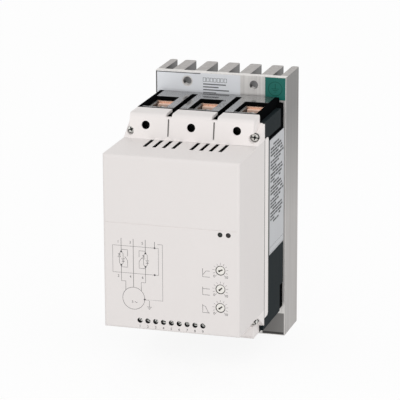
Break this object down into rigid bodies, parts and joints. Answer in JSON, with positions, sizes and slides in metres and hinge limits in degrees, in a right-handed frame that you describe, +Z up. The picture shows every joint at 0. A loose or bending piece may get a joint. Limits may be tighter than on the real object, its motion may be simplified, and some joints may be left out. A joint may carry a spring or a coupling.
{
  "type": "soft starter",
  "caption": "Panel-mounted motor soft starter: finned heat sink, slate base, light grey cover with setting dials, lamps, control terminals and box terminals above and below.",
  "frame": {"origin": "in the mounting plane at the fin tips, midway between the four mounting holes", "axes": "+Z up along the fins, +Y back into the mounting panel, the cover faces -Y, +X to the right of it"},
  "size_m": [0.108, 0.178, 0.215],
  "materials": {
    "sink": "extruded, satin",
    "slate_plastic": "fine moulded grain",
    "cover_plastic": "fine moulded grain",
    "black_plastic": "satin moulded",
    "steel": "zinc plated",
    "copper": "bare copper",
    "module_plastic": "moulded",
    "pad": "soft pad",
    "insulator": "moulded",
    "relay_blue": "moulded",
    "relay_white": "moulded",
    "board": "lacquered board",
    "nickel": "nickel plated",
    "capacitor": "sleeved",
    "ribbon": "flat lead",
    "terminal_green": "moulded",
    "dial_cream": "moulded",
    "run_lens": "clear dark lens, unlit",
    "fault_lens": "clear dark lens, unlit",
    "silver_label": "metallised film",
    "green_label": "printed film"
  },
  "bodies": {
    "starter": {"heat_sink": "sink", "base_housing": "slate_plastic", "front_cover": "cover_plastic", "upper_terminal_block": "black_plastic", "lower_terminal_block": "black_plastic", "line_box_l1": "steel", "line_box_l2": "steel", "line_box_l3": "steel", "load_box_t1": "steel", "load_box_t2": "steel", "load_box_t3": "steel", "line_clamp_screws": "steel", "load_clamp_screws": "steel", "line_clamp_saddles": "nickel", "load_clamp_saddles": "nickel", "line_bar_l1": "copper", "line_bar_l3": "copper", "load_bar_t1": "copper", "load_bar_t3": "copper", "phase_bar_l2": "copper", "bar_insulator": "insulator", "thyristor_module_l1": "module_plastic", "thyristor_module_l3": "module_plastic", "thermal_pads": "pad", "module_screws": "steel", "bar_screws": "steel", "bypass_relay_l1": "relay_blue", "bypass_relay_l3": "relay_blue", "bypass_posts": "copper", "power_board": "board", "board_spacers": "nickel", "board_screws": "steel", "board_capacitors": "capacitor", "control_board": "board", "control_spacers": "nickel", "control_board_screws": "steel", "signal_relays": "relay_white", "ribbon_link": "ribbon", "control_terminal_block": "terminal_green", "control_terminal_screws": "steel", "trimmer_bodies": "relay_blue", "run_lamp": "run_lens", "fault_lamp": "fault_lens", "cover_screws": "steel", "base_screws": "steel", "temperature_sensor": "module_plastic", "side_label": "silver_label", "top_label": "silver_label", "earth_label": "green_label"},
    "start_ramp_setting": {"start_ramp_dial": "dial_cream"},
    "start_voltage_setting": {"start_voltage_dial": "dial_cream"},
    "stop_ramp_setting": {"stop_ramp_dial": "dial_cream"}
  },
  "joints": [
    {"name": "start_ramp_turn", "type": "hinge", "parent": "starter", "child": "start_ramp_setting", "pos_m": [0.0389, -0.178, -0.0124], "axis": [0, 1, 0], "range_deg": [-205, 75]},
    {"name": "start_voltage_turn", "type": "hinge", "parent": "starter", "child": "start_voltage_setting", "pos_m": [0.0389, -0.178, -0.02715], "axis": [0, 1, 0], "range_deg": [-188, 92]},
    {"name": "stop_ramp_turn", "type": "hinge", "parent": "starter", "child": "stop_ramp_setting", "pos_m": [0.0389, -0.178, -0.0419], "axis": [0, 1, 0], "range_deg": [-192, 88]}
  ]
}
